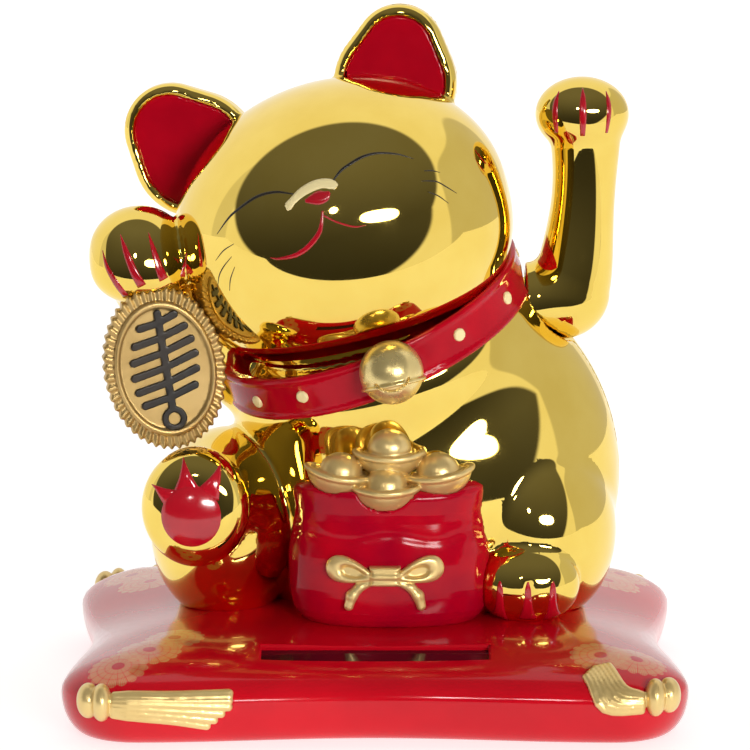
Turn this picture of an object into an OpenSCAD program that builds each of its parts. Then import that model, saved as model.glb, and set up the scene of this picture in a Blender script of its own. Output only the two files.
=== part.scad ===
// Beckoning cat figurine: a hollow gilt cat on a cushion whose left arm waves
// on a pendulum kept going by a coil and a solar cell.
// Millimetres, +Z up, the cat faces -Y, and X runs towards its left paw.
// The origin is the centre of the underside.

/* [Cushion] */
// Width of the cushion over its corners
cushion_w = 99.5; // [98:0.5:101]
// Depth of the cushion over its corners
cushion_d = 87; // [86:0.5:89]
// Height of the cushion at its crown
cushion_t = 14.5; // [14.2:0.1:14.8]
// Height at which the cushion is widest
seam_z = 7; // [6.5:0.1:7.2]
// How far the left and right sides pull in between the corners
side_dip = 3.5; // [2:0.5:4]
// How far the front and rear sides pull in between the corners
front_dip = 3; // [2:0.5:4]
// Wall of the cushion under its crown
cushion_wall = 3; // [2.6:0.1:3.2]
// Thickness of the plate that closes the cushion
base_plate_t = 2.4; // [2.2:0.1:2.8]

/* [Solar cell] */
// Length of the window over the solar cell
slot_w = 36; // [34:1:37]
// Width of the window over the solar cell
slot_d = 5; // [4.5:0.5:5.5]
// Centre of the window from the middle of the cushion
slot_y = -31.5; // [-32:0.5:-31]

/* [Cat] */
// Wall of the gilt shells
shell_wall = 2; // [1.8:0.1:2.2]
// Half width, half depth and half height of the belly
belly_r = [31.6, 25.5, 34];
// Centre of the belly
belly_c = [8.6, 9, 34.2];
// Half width, half depth and half height of the head
head_r = [27.5, 26, 22.7];
// Centre of the head
head_c = [-5.4, 0.5, 77.3];
// Half width, half depth and half height of the full lower face
jaw_r = [26.7, 25.2, 16.7];
// Sideways lean of the head in degrees
head_roll = 17; // [14:1:18]
// Turn of the head in degrees
head_yaw = -6; // [-8:1:0]
// Radius of an ear at its root
ear_root_r = 10.1; // [9.8:0.1:10.4]
// Radius of an ear at its tip
ear_tip_r = 7.5; // [7.2:0.1:7.8]

/* [Collar] */
// Outer radius of the collar
collar_r = 26.3; // [26:0.1:26.5]
// Height of the collar band
collar_h = 7.4; // [7.2:0.1:7.6]
// Radius of the bell
bell_r = 5.1; // [4.6:0.1:5.4]

/* [Waving arm] */
// Height of the shoulder pivot
pivot_z = 63; // [62.8:0.1:63.2]
// Radius of the arm's root
arm_root_r = 6.2; // [6:0.1:6.3]
// Gap round the arm's root in the shoulder
shoulder_gap = 0.45; // [0.4:0.05:0.5]
// Wall of the arm shells
arm_wall = 1.5; // [1.3:0.1:1.6]

/* [Movement] */
// Radius of the pivot pin
pin_r = 1; // [0.9:0.05:1]
// Radial running clearance of the pin in the frame
pin_gap = 0.05; // [0.03:0.01:0.08]
// Radius of the pendulum magnet
magnet_r = 4; // [3.5:0.5:4]
// Thickness of the pendulum magnet
magnet_t = 3; // [2.5:0.5:3]

/* [Koban coin] */
// Half width of the coin
coin_rx = 9.9; // [9.5:0.1:10.2]
// Half height of the coin
coin_rz = 13.5; // [13:0.1:14]
// Thickness of the coin
coin_t = 3.4; // [3:0.1:3.8]

/* [Hidden] */

far = 200;
sliver = 0.05;
mid_y = 7;
head_tilt = [0, -head_roll, head_yaw];

// Screws: a self-tapping pan head screw for plastic
screw_r = 1.1;
screw_head_r = 2.2;
screw_head_t = 1.4;
boss_r = 3;

base_screw_xy = [[-35, -26], [35, -26], [-35, 26], [35, 26]];
body_screw_front = [[8.6, -7]];
body_screw_rear = [[0, 23.8], [17, 23.8]];
body_screw_xy = concat(body_screw_front, body_screw_rear);
frame_screw_xy = [[1.5, mid_y], [25.5, mid_y]];
boss_top = cushion_t + 7;

// ---------- outlines and lofts ----------

corner_signs = [[1, 1], [-1, 1], [-1, -1], [1, -1]];
corner_r = 12;
corner_r_min = 2.5;
corner_steps = 5;
side_steps = 6;
crown_inset = 26;
base_inset = 4.5;

function dipped(p, hx, hy) =
    [p.x - sign(p.x) * side_dip * pow(cos(90 * min(1, abs(p.y) / (hy - 8))), 2),
     p.y - sign(p.y) * front_dip * pow(cos(90 * min(1, abs(p.x) / (hx - 8))), 2)];

// Cushion outline, pulled in by inset: round corners and hollow sides
function cushion_outline(inset) =
    let (hx = cushion_w / 2 - inset, hy = cushion_d / 2 - inset, r = max(corner_r - inset, corner_r_min),
         arc = function (q, a) [corner_signs[q].x * (hx - r) + r * cos(a),
                                corner_signs[q].y * (hy - r) + r * sin(a)])
    [for (q = [0:3]) each concat(
        [for (k = [0:corner_steps]) dipped(arc(q, 90 * (q + k / corner_steps)), hx, hy)],
        [for (k = [1:side_steps - 1])
            let (a = arc(q, 90 * (q + 1)), b = arc((q + 1) % 4, 90 * (q + 1)))
            dipped(a + (b - a) * k / side_steps, hx, hy)])];

// Closed solid through a stack of outlines with equal point counts, bottom first
module loft(rings) {
    n = len(rings[0]);
    top = len(rings) - 1;
    polyhedron(
        points = [for (ring = rings) each ring],
        faces = concat(
            [[for (j = [0:n - 1]) j]],
            [[for (j = [n - 1:-1:0]) top * n + j]],
            [for (i = [0:top - 1], j = [0:n - 1])
                [i * n + j, (i + 1) * n + j, (i + 1) * n + (j + 1) % n, i * n + (j + 1) % n]]));
}

function at_height(outline, z) = [for (p = outline) [p.x, p.y, z]];

// The pillow: a low crown over a widest line at seam_z and a tucked-in base
module cushion_form(grow = 0)
    loft(concat(
        [for (b = [90:-30:0])
            at_height(cushion_outline(base_inset * (1 - cos(b)) - grow), seam_z * (1 - sin(b)))],
        [for (b = [15:15:90])
            at_height(cushion_outline(crown_inset * (1 - cos(b)) - grow),
                      seam_z + (cushion_t - seam_z + grow) * sin(b))]));

module ball(c, r, tilt = [0, 0, 0], fn = 24)
    translate(c) rotate(tilt) hull() scale(r) sphere(1, $fn = fn);

module limb(a, b, ra, rb, fn = 24)
    hull() {
        translate(a) sphere(ra, $fn = fn);
        translate(b) sphere(rb, $fn = fn);
    }

module screw(length) {
    translate([0, 0, -screw_head_t]) cylinder(h = screw_head_t, r = screw_head_r, $fn = 40);
    cylinder(h = length, r = screw_r, $fn = 32);
}

// ---------- cushion ----------

cell_size = [slot_w + 2, 6.6, 1.1];
cell_face_z = 12;
cell_tilt = 13.2;
cell_pocket_h = 10;
slot_cut_h = 8;
lead_hole_x = [11.1, 14.1];

// Frame on the middle of the cell's face, which slopes like the cushion over it
module on_cell() translate([0, slot_y, cell_face_z]) rotate([cell_tilt, 0, 0]) children();

// Room inside the cushion, stepped up under the crown, with a pocket for the cell
module cushion_room() {
    translate([0, 0, -1]) linear_extrude(base_plate_t + 1.2) polygon(cushion_outline(base_inset + 2));
    translate([0, 0, base_plate_t]) linear_extrude(8.5 - base_plate_t) polygon(cushion_outline(4.2));
    translate([-34, -24, 5]) cube([68, 51, cushion_t - cushion_wall - 5]);
    on_cell() translate([0, 0, -cell_pocket_h / 2])
        cube([cell_size.x + 0.4, cell_size.y + 0.4, cell_pocket_h], center = true);
}

// Rib that ties a screw boss to the side wall
module boss_rib(a, b) hull() for (p = [a, b])
    translate([p.x, p.y, base_plate_t + 0.1]) cylinder(h = 6, r = 0.8, $fn = 8);

module cushion_shell() color([0.78, 0.04, 0.08]) difference() {
    union() {
        difference() {
            cushion_form();
            cushion_room();
        }
        for (p = base_screw_xy) {
            translate([p.x, p.y, base_plate_t + 0.1]) cylinder(h = 7, r = boss_r, $fn = 20);
            for (reach = [[10, 0], [0, 13.4]])
                boss_rib(p, [p.x + sign(p.x) * reach.x, p.y + sign(p.y) * reach.y]);
        }
    }
    on_cell() cube([slot_w, slot_d, slot_cut_h], center = true);
    for (p = base_screw_xy) translate([p.x, p.y, 0]) cylinder(h = 9, r = screw_r, $fn = 20);
    for (p = concat(body_screw_xy, frame_screw_xy))
        translate([p.x, p.y, 5]) cylinder(h = 12, r = screw_r + 0.2, $fn = 20);
    for (x = lead_hole_x) translate([x, 0, 5]) cylinder(h = 12, r = 0.9, $fn = 16);
}

module base_plate() color([0.1, 0.1, 0.11]) difference() {
    union() {
        linear_extrude(base_plate_t) polygon(cushion_outline(base_inset + 2.3));
        for (x = board_screw_x)
            translate([x, board_c.y, base_plate_t])
                cylinder(h = board_c.z - base_plate_t, r = 2.2, $fn = 32);
    }
    for (p = base_screw_xy) translate([p.x, p.y, -1]) {
        cylinder(h = 9, r = screw_r + 0.2, $fn = 32);
        cylinder(h = 1 + screw_head_t + 0.2, r = screw_head_r + 0.2, $fn = 40);
    }
    for (x = board_screw_x)
        translate([x, board_c.y, board_c.z - 2.8]) cylinder(h = 9, r = board_screw_r, $fn = 32);
}

// One moulded tassel: a knob and three strands that run along a path and spread apart
module tassel(knob, path, spread) {
    ball(knob, [2.8, 2.8, 3.1], fn = 12);
    ball((knob + path[0]) / 2, [2.3, 2.3, 2.6], fn = 10);
    for (k = [-1:1], i = [0:len(path) - 2])
        hull() for (j = [i, i + 1])
            translate(path[j] + k * spread[j]) sphere(1.4, $fn = 6);
}

// A front corner pair; the rear pair is the same turned by half a turn
module tassel_pair() {
    tassel([-43.9, -41.2, 7.6], [[-38.6, -43.2, 7.2], [-23, -42.2, 6.4]],
           [[0, 0.1, 1.3], [0, 0.3, 2.2]]);
    tassel([45, -40.5, 8.1], [[40.6, -42.8, 7.9], [37.4, -41.9, 9.1], [34.8, -38.1, 12.3]],
           [[0.2, 0, 1.2], [1.2, 0.4, 0.9], [1.7, 1, 0.5]]);
}

module tassels() color([0.82, 0.68, 0.36]) difference() {
    union() {
        tassel_pair();
        rotate([0, 0, 180]) tassel_pair();
    }
    cushion_form(0.02);
}

module solar_cell() color([0.16, 0.03, 0.06])
    on_cell() translate([0, 0, -cell_size.z / 2]) cube(cell_size, center = true);

// ---------- cat body ----------

collar_c = [-0.6, 6, 60];
collar_tilt = [11.6, -21.7, 0];
collar_t = 2.1;
neck_r = [25, 25, 11];
neck_drop = 5;

module in_head() translate(head_c) rotate(head_tilt) children();
module in_collar() translate(collar_c) rotate(collar_tilt) children();

ear_roots = [[-20.9, 7, 16.3], [14, 7, 18.3]];
ear_tips = [[-23.5, 7.5, 21], [16.2, 7.5, 23.3]];

module ear_disc(c, r, t) translate(c) rotate([90, 0, 0]) hull() {
    cylinder(h = t - 2.4, r = r, center = true, $fn = 24);
    cylinder(h = t, r = r - 1.6, center = true, $fn = 24);
}

module ears() in_head() for (s = [0:1]) hull() {
    ear_disc(ear_roots[s], ear_root_r, 7.5);
    ear_disc(ear_tips[s], ear_tip_r, 5.4);
}

// Belly, neck, head and thighs; grow < 0 gives the hollow inside the shells
module trunk(grow) {
    g = [grow, grow, grow];
    fn = grow < 0 ? 14 : 26;
    ball(belly_c, belly_r + g, fn = fn);
    in_collar() ball([0, 0, -neck_drop], neck_r + g, fn = fn);
    in_head() hull() {
        scale(head_r + g) sphere(1, $fn = fn);
        translate([0, 0, jaw_r.z - head_r.z]) scale(jaw_r + g) sphere(1, $fn = fn);
    }
    ball([-23.9, 2, 26.8], [12.8, 17, 16] + g, [0, 6, 0], fn = fn - 6);
    ball([26, 2, 28], [13.2, 18, 17] + g, [0, -14, 0], fn = fn - 6);
}

module limbs(grow) {
    fn = grow < 0 ? 12 : 20;
    limb([-28.4, -15.3, 33.3], [-25.4, 4, 31], 8.8 + grow, 10.5 + grow, fn);
    limb([-20, 7, 51.5], [-36, 1, 65.5], 7.5 + grow, 6.6 + grow, fn);
    ball([-37.8, -2, 72.3], [8.1, 7.6, 6.8] + [grow, grow, grow], fn = fn);
}

module toes() {
    for (x = [20.8, 24.7, 28.6]) limb([x, -16, 20], [0.8 * x + 5, 2, 21], 6, 7, 12);
    ball([-37.6, -4, 68.1], [7.7, 6, 4.8], fn = 16);
}

coin_rim = 2.2;
coin_relief = 0.6;

module koban_frame() translate([-33.9, -9, 54.7]) rotate([0, -10, 8]) rotate([90, 0, 0]) children();

module koban_blank(grow = 0) koban_frame()
    scale([coin_rx + grow, coin_rz + grow, 1])
        cylinder(h = coin_t + 2 * grow, r = 1, center = true, $fn = 64);

module collar_ring(grow = 0) in_collar()
    rotate_extrude($fn = 96) translate([collar_r - collar_t - grow, 0])
        offset(r = 0.6) offset(r = -0.6)
            translate([0, -collar_h / 2 - grow]) square([collar_t + 2 * grow, collar_h + 2 * grow]);

shoulder_x = 23.9;

// Clear space for the arm's root and its hub
module shoulder_hole() translate([0, mid_y, pivot_z]) rotate([0, 90, 0]) {
    translate([0, 0, shoulder_x]) cylinder(h = 30, r = arm_root_r + shoulder_gap, $fn = 64);
    translate([0, 0, 20]) cylinder(h = 8, r = 4, $fn = 48);
}

// side is -1 for the front half and 1 for the rear half
module body_half(side, screws) difference() {
    union() {
        difference() {
            trunk(0);
            trunk(-shell_wall);
            limbs(-shell_wall);
            shoulder_hole();
        }
        difference() {
            union() {
                limbs(0);
                toes();
                ears();
            }
            trunk(-shell_wall);
            limbs(-shell_wall);
            shoulder_hole();
        }
        for (p = screws)
            translate([p.x, p.y, seam_z + 3]) cylinder(h = boss_top - seam_z - 3, r = boss_r, $fn = 20);
    }
    translate([-far / 2, side < 0 ? mid_y : mid_y - far, 0]) cube(far);
    cushion_form(0.02);
    translate([-far / 2, -far / 2, seam_z + 3 - far]) cube(far);
    for (p = screws) translate([p.x, p.y, 0]) cylinder(h = boss_top - 1, r = screw_r, $fn = 20);
    collar_ring(0.03);
    koban_blank(0.03);
    koban_frame() scale([coin_rx - coin_rim + 0.03, coin_rz - coin_rim + 0.03, 1])
        cylinder(h = coin_t + 2 * coin_relief + 0.06, r = 1, center = true, $fn = 48);
}

module body_front() color([0.86, 0.66, 0.2]) body_half(-1, body_screw_front);
module body_rear() color([0.86, 0.66, 0.2]) body_half(1, body_screw_rear);

module collar() color([0.74, 0.02, 0.1]) difference() {
    collar_ring();
    shoulder_hole();
}

bell_at = [1.9, 0.8];
bell_stand = 1.8;

// Jingle bell, flat where it sits on the front of the collar
module bell() color([0.85, 0.74, 0.42])
    in_collar() translate([bell_at.x, -collar_r - 0.01, bell_at.y]) rotate([90, 0, 0])
        rotate_extrude($fn = 64) intersection() {
            translate([0, bell_stand]) circle(bell_r, $fn = 96);
            square(2 * bell_r);
        }

// ---------- charms ----------

module koban_coin() color([0.74, 0.6, 0.34]) union() {
    koban_blank();
    koban_frame() scale([coin_rx - coin_rim, coin_rz - coin_rim, 1])
        cylinder(h = coin_t + 2 * coin_relief, r = 1, center = true, $fn = 64);
}

bag_c = [2.4, -11.6];
// Half width of the bag at heights above its foot
bag_profile = [[0, 12], [1, 13.8], [3, 15.6], [6.5, 16.3], [12, 16.2], [17, 15.1],
               [20.5, 15.3], [22.8, 15.8], [23.9, 15.2], [24.4, 13]];
bag_foot_z = 13.2;
bag_depth = 0.66;

function rounded_power(v, n) = sign(v) * pow(abs(v), n);

module bag_form(grow = 0)
    loft([for (p = bag_profile)
        [for (a = [0:12:348])
            [bag_c.x + (p[1] + grow) * rounded_power(cos(a), 0.8),
             bag_c.y + (p[1] * bag_depth + grow) * rounded_power(sin(a), 0.8),
             bag_foot_z + p[0] + (p[0] > 0 ? grow : -abs(grow))]]]);

module money_bag() color([0.66, 0.02, 0.1]) difference() {
    bag_form();
    bag_form(-1.8);
    trunk(sliver);
    limbs(sliver);
    toes();
    ingot_heap(sliver);
    cushion_form(0.02);
}

// Boat-shaped ingot with a dome in its middle
module ingot(grow) {
    hull() {
        translate([0, 0, -3.1]) scale([1, 0.8, 1]) cylinder(h = 1, r = 2.6 + grow, $fn = 20);
        translate([0, 0, 0.2]) scale([1, 0.78, 1]) cylinder(h = 0.6 + grow, r = 5.2 + grow, $fn = 20);
    }
    ball([0, 0, 0.8], [2.9, 2.7, 2.5] + [grow, grow, grow], fn = 16);
}

ingot_places = [[-5.3, -17.8, 38.8, 9], [10.1, -17.8, 38.8, -8], [2.3, -17, 42, 0], [1.8, -19.4, 36.3, 0]];

module ingot_heap(grow = 0)
    for (p = ingot_places) translate([p[0], p[1], p[2]]) rotate([0, -p[3], 0]) ingot(grow);

module gold_ingots() color([0.86, 0.72, 0.38]) difference() {
    ingot_heap();
    trunk(sliver / 2);
}

bow_c = [2.3, -22.2, 24.2];

module bow_loop() hull() {
    translate([1.6, 0, 0]) sphere(1.5, $fn = 16);
    translate([5.4, 0.6, 1.3]) sphere(1.6, $fn = 16);
    translate([7.2, 1.1, -0.9]) sphere(1.4, $fn = 16);
}

module bow_tail() hull() {
    translate([1.2, 0, -1.2]) sphere(1.2, $fn = 12);
    translate([4.8, 0.9, -5.3]) sphere(1.3, $fn = 12);
}

module bag_bow() color([0.78, 0.62, 0.36]) difference() {
    translate(bow_c) {
        ball([0, 0, 0], [2.2, 1.9, 1.8], fn = 20);
        for (s = [0, 1]) mirror([s, 0, 0]) {
            bow_loop();
            bow_tail();
        }
    }
    bag_form(sliver);
    translate([0, bow_c.y + 10, bow_c.z]) cube([60, 16, 60], center = true);
}

// ---------- waving arm ----------

arm_root_x = 24.4;
elbow_c = [31.9, mid_y, pivot_z + 1.5];
waist_c = [33.9, mid_y - 0.3, pivot_z + 17.5];
wrist_c = [34.3, mid_y - 0.6, pivot_z + 23.5];
paw_c = [33.8, mid_y - 1.4, pivot_z + 30.5];
hub_r = 2.6;
hub_start_x = 22;
hub_end_x = 35;

module along_pivot(x) translate([x, mid_y, pivot_z]) rotate([0, 90, 0]) children();

module arm_form(grow) {
    fn = grow < 0 ? 14 : 22;
    along_pivot(arm_root_x - grow) cylinder(h = 6 + grow, r = arm_root_r + grow, $fn = 48);
    ball([30.4, mid_y, pivot_z], (arm_root_r + grow) * [1, 1, 1], fn = fn);
    limb(elbow_c, waist_c, 6.2 + grow, 5.1 + grow, fn);
    limb(waist_c, wrist_c, 5.1 + grow, 5.7 + grow, fn);
    ball(paw_c, [7.5, 6.3, 5.9] + [grow, grow, grow], fn = fn);
}

// side is -1 for the front half and 1 for the rear half
module arm_half(side) difference() {
    arm_form(0);
    arm_form(-arm_wall);
    translate([-far / 2, side < 0 ? mid_y : mid_y - far, -far / 2]) cube(far);
    along_pivot(0) cylinder(h = hub_end_x, r = hub_r + 0.02, $fn = 40);
}

// Bushing that the two arm shells close round, gripping the pivot pin
module arm_hub() color([0.9, 0.9, 0.86]) difference() {
    along_pivot(hub_start_x) cylinder(h = hub_end_x - hub_start_x, r = hub_r, $fn = 40);
    along_pivot(0) cylinder(h = far, r = pin_r, $fn = 40);
}

module arm_front() color([0.86, 0.66, 0.2]) arm_half(-1);
module arm_rear() color([0.86, 0.66, 0.2]) arm_half(1);

// ---------- movement ----------

pendulum_x = 12.6;
post_x = [4.4, 19];
post_t = 1.8;
pin_start_x = 4;
pin_end_x = 34;
magnet_z = 24.5;
frame_z = cushion_t + 0.02;
frame_t = 1.6;
bobbin_h = 6;

module pivot_pin() color([0.75, 0.75, 0.77]) translate([pin_start_x, mid_y, pivot_z])
    rotate([0, 90, 0]) cylinder(h = pin_end_x - pin_start_x, r = pin_r, $fn = 40);

// A plate with two posts that carry the pin
module movement_frame() color([0.93, 0.93, 0.9]) difference() {
    union() {
        translate([-2, mid_y - 8, frame_z]) cube([31, 16, frame_t]);
        for (p = frame_screw_xy) translate([p.x, p.y, frame_z]) cylinder(h = 7, r = boss_r, $fn = 32);
        for (x = post_x) {
            translate([x, mid_y - 4, frame_z]) cube([post_t, 8, pivot_z - frame_z - 3]);
            translate([x, mid_y - 2.8, frame_z]) cube([post_t, 5.6, pivot_z - frame_z]);
            translate([x, mid_y, pivot_z]) rotate([0, 90, 0]) cylinder(h = post_t, r = 2.8, $fn = 40);
        }
    }
    translate([0, mid_y, pivot_z]) rotate([0, 90, 0]) cylinder(h = 30, r = pin_r + pin_gap, $fn = 40);
    for (p = frame_screw_xy) translate([p.x, p.y, 0]) cylinder(h = frame_z + 6, r = screw_r, $fn = 32);
    for (x = lead_hole_x) translate([x, 0, 5]) cylinder(h = 20, r = 0.9, $fn = 24);
}

lever_t = 3;
weight_z = 37;
weight_r = 3.4;
weight_t = 4.4;
weight_y = mid_y + 1;

module pendulum_lever() color([0.9, 0.9, 0.86]) difference() {
    union() {
        translate([post_x[0] + post_t + 0.4, mid_y, pivot_z]) rotate([0, 90, 0])
            cylinder(h = post_x[1] - post_x[0] - post_t - 0.8, r = 3, $fn = 40);
        translate([pendulum_x - lever_t / 2, mid_y - 2, magnet_z + magnet_t])
            cube([lever_t, 4, pivot_z - magnet_z - magnet_t]);
        translate([pendulum_x, mid_y, magnet_z + magnet_t - 2]) cylinder(h = 3.4, r = magnet_r + 1, $fn = 48);
        translate([pendulum_x - weight_t / 2, weight_y, weight_z]) rotate([0, 90, 0])
            cylinder(h = weight_t, r = weight_r + 1.2, $fn = 48);
    }
    translate([0, mid_y, pivot_z]) rotate([0, 90, 0]) cylinder(h = 30, r = pin_r, $fn = 40);
    translate([pendulum_x, mid_y, magnet_z - 1]) cylinder(h = magnet_t + 1, r = magnet_r, $fn = 48);
    translate([0, weight_y, weight_z]) rotate([0, 90, 0]) cylinder(h = 30, r = weight_r, $fn = 48);
}

module magnet() color([0.6, 0.6, 0.63])
    translate([pendulum_x, mid_y, magnet_z]) cylinder(h = magnet_t, r = magnet_r, $fn = 48);

module counterweight() color([0.55, 0.56, 0.58]) translate([pendulum_x - weight_t / 2, weight_y, weight_z])
    rotate([0, 90, 0]) cylinder(h = weight_t, r = weight_r, $fn = 48);

module coil_bobbin() color([0.95, 0.95, 0.92]) translate([pendulum_x, mid_y, frame_z + frame_t])
    rotate_extrude($fn = 64) polygon([[0, 0], [6.2, 0], [6.2, 0.8], [2, 0.8], [2, bobbin_h - 0.8],
        [6.2, bobbin_h - 0.8], [6.2, bobbin_h], [0, bobbin_h]]);

module coil_winding() color([0.72, 0.35, 0.15]) translate([pendulum_x, mid_y, frame_z + frame_t + 0.8])
    rotate_extrude($fn = 64) translate([2, 0]) square([3.7, bobbin_h - 1.6]);

board_c = [-14, 8, 4.4];
board_size = [26, 16, 1.2];
board_screw_x = [board_c.x - 10, board_c.x + 10];
board_screw_r = 0.9;

module circuit_board() color([0.12, 0.4, 0.2]) difference() {
    translate([board_c.x - board_size.x / 2, board_c.y - board_size.y / 2, board_c.z]) cube(board_size);
    for (x = board_screw_x)
        translate([x, board_c.y, 0]) cylinder(h = 9, r = board_screw_r + 0.15, $fn = 32);
}

board_top = board_c.z + board_size.z;

module driver_chip() color([0.06, 0.06, 0.07]) translate([board_c.x - 3, board_c.y + 2, board_top])
    rotate_extrude($fn = 48) intersection() {
        translate([0, -3.4]) circle(5, $fn = 96);
        square(5);
    }

module capacitor() color([0.1, 0.15, 0.3]) translate([board_c.x + 1, board_c.y - 3, board_top + 2.2])
    rotate([0, 90, 0]) cylinder(h = 7, r = 2.2, $fn = 48);

// Round wire along straight runs that turn square corners
module wire(points, r) for (i = [0:len(points) - 2]) {
    run = points[i + 1] - points[i];
    axis = run / norm(run);
    first = i > 0 ? r : 0;
    last = i < len(points) - 2 ? r : 0;
    translate(points[i] - first * axis)
        rotate([0, acos(axis.z), axis.x == 0 && axis.y == 0 ? 0 : atan2(axis.y, axis.x)])
            cylinder(h = norm(run) + first + last, r = r, $fn = 16);
}

lead_r = 0.6;
lead_z = 6.9;
lead_turn_y = -16;

// Lead from under the cell to its pad on the board
module cell_lead(x, pad_x)
    wire([[x, slot_y, cell_face_z - cell_size.z - 0.3], [x, slot_y, lead_z], [x, lead_turn_y, lead_z],
          [pad_x, lead_turn_y, lead_z], [pad_x, board_c.y - 6.5, lead_z],
          [pad_x, board_c.y - 6.5, board_top]], lead_r);

module cell_lead_red() color([0.75, 0.05, 0.05]) cell_lead(8, board_c.x + 8);
module cell_lead_black() color([0.05, 0.05, 0.05]) cell_lead(-15, board_c.x - 7);

coil_lead_z = frame_z + frame_t + 3;

module coil_leads() color([0.7, 0.35, 0.15]) for (k = [0, 1]) {
    pad = [board_c.x + 6 - 12 * k, board_c.y + 6];
    x = lead_hole_x[k];
    z = 8 + k;
    wire([[pad.x, pad.y, board_top], [pad.x, pad.y, z], [x, pad.y, z], [x, 0, z],
          [x, 0, coil_lead_z], [x, mid_y - 5.55, coil_lead_z]], 0.25);
}

// ---------- fasteners ----------

module base_screws() color([0.7, 0.7, 0.72])
    for (p = base_screw_xy) translate([p.x, p.y, screw_head_t + 0.2]) screw(7);

module body_screws() color([0.7, 0.7, 0.72])
    for (p = body_screw_xy) translate([p.x, p.y, cushion_t - cushion_wall]) screw(8);

module frame_screws() color([0.7, 0.7, 0.72])
    for (p = frame_screw_xy) translate([p.x, p.y, cushion_t - cushion_wall]) screw(7);

module board_screws() color([0.7, 0.7, 0.72]) for (x = board_screw_x) translate([x, board_c.y, board_top]) {
    cylinder(h = 1.2, r = 1.8, $fn = 32);
    translate([0, 0, -3.6]) cylinder(h = 3.6, r = board_screw_r, $fn = 32);
}

cushion_shell();
base_plate();
tassels();
solar_cell();
body_front();
body_rear();
collar();
bell();
koban_coin();
money_bag();
gold_ingots();
bag_bow();
arm_front();
arm_rear();
arm_hub();
pivot_pin();
pendulum_lever();
magnet();
counterweight();
movement_frame();
coil_bobbin();
coil_winding();
circuit_board();
driver_chip();
capacitor();
cell_lead_red();
cell_lead_black();
coil_leads();
base_screws();
body_screws();
frame_screws();
board_screws();
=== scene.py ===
"""Looks of the beckoning cat figurine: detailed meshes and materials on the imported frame.

Shapes are signed distance fields in millimetres, in the row frame: the cat faces -Y, +Z is up.
"""
import math

import bmesh
import bpy
import numpy as np
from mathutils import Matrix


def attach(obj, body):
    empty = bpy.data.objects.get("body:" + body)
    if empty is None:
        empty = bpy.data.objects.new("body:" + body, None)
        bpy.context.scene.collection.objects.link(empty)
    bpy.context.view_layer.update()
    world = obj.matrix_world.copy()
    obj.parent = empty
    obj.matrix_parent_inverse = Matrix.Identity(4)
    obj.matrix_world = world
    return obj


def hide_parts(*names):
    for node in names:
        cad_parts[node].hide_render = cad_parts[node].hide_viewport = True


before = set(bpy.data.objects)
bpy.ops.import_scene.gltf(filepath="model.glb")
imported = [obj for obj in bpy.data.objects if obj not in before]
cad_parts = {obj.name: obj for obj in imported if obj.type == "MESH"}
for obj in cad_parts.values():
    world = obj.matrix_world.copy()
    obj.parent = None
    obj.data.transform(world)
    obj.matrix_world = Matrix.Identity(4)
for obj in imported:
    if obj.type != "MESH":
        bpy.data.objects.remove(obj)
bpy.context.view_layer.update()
MM = 0.001
COARSE = 1.0


# ---------- distance fields ----------

def turned(rx=0, ry=0, rz=0):
    """Rotation about X, then Y, then Z, in degrees."""
    (cx, cy, cz), (sx, sy, sz) = np.cos(np.radians([rx, ry, rz])), np.sin(np.radians([rx, ry, rz]))
    about_x = np.array([[1, 0, 0], [0, cx, -sx], [0, sx, cx]])
    about_y = np.array([[cy, 0, sy], [0, 1, 0], [-sy, 0, cy]])
    about_z = np.array([[cz, -sz, 0], [sz, cz, 0], [0, 0, 1]])
    return about_z @ about_y @ about_x


def local(p, centre, turn=None):
    q = p - np.asarray(centre, p.dtype)
    return q if turn is None else q @ np.asarray(turn, p.dtype)


def ellipsoid(p, centre, radii, turn=None):
    q = local(p, centre, turn)
    radii = np.asarray(radii, p.dtype)
    near = np.linalg.norm(q / radii, axis=-1)
    slope = np.linalg.norm(q / radii ** 2, axis=-1)
    return near * (near - 1) / np.maximum(slope, 1e-6)


def rod(p, a, b, ra, rb=None):
    """A rod with round ends, tapering from radius ra to rb."""
    rb = ra if rb is None else rb
    a, b = np.asarray(a, p.dtype), np.asarray(b, p.dtype)
    along = b - a
    t = np.clip(((p - a) @ along) / (along @ along), 0, 1)
    return np.linalg.norm(p - a - t[..., None] * along, axis=-1) - (ra + (rb - ra) * t)


def join(a, b, k=0.0):
    """Union, with a fillet of about k."""
    if k == 0:
        return np.minimum(a, b)
    h = np.clip(0.5 + 0.5 * (b - a) / k, 0, 1)
    return b * (1 - h) + a * h - k * h * (1 - h)


def meet(a, b, k=0.0):
    return -join(-a, -b, k)


def cut(a, b, k=0.0):
    return -join(-a, b, k)


def slab(radial, axial, edge):
    """A disc or prism from its two distances, with its edges rounded by edge."""
    u, v = radial + edge, axial + edge
    outside = np.sqrt(np.maximum(u, 0) ** 2 + np.maximum(v, 0) ** 2)
    return outside + np.minimum(np.maximum(u, v), 0) - edge


def chain(p, points, radii, k=0.0):
    found = None
    for a, b, ra, rb in zip(points, points[1:], radii, radii[1:]):
        d = rod(p, a, b, ra, rb)
        found = d if found is None else join(found, d, k)
    return found


# ---------- the cat ----------

# Centre, radii and turn of each form. The front and rear shells meet at PARTING_Y.
PARTING_Y = 7.0
HEAD_C, HEAD_R, HEAD_T = (-5.4, 0.5, 77.3), (27.5, 26, 22.7), turned(0, -17, -6)
HEAD_MEAN_R, JAW_POWER = 23.5, 2.45
COLLAR_C, COLLAR_T, COLLAR_R, COLLAR_H = (-0.6, 6, 60), turned(11.6, -21.7, 0), 26.3, 7.4
SHELL_WALL, ARM_WALL = 2.0, 1.5
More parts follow.
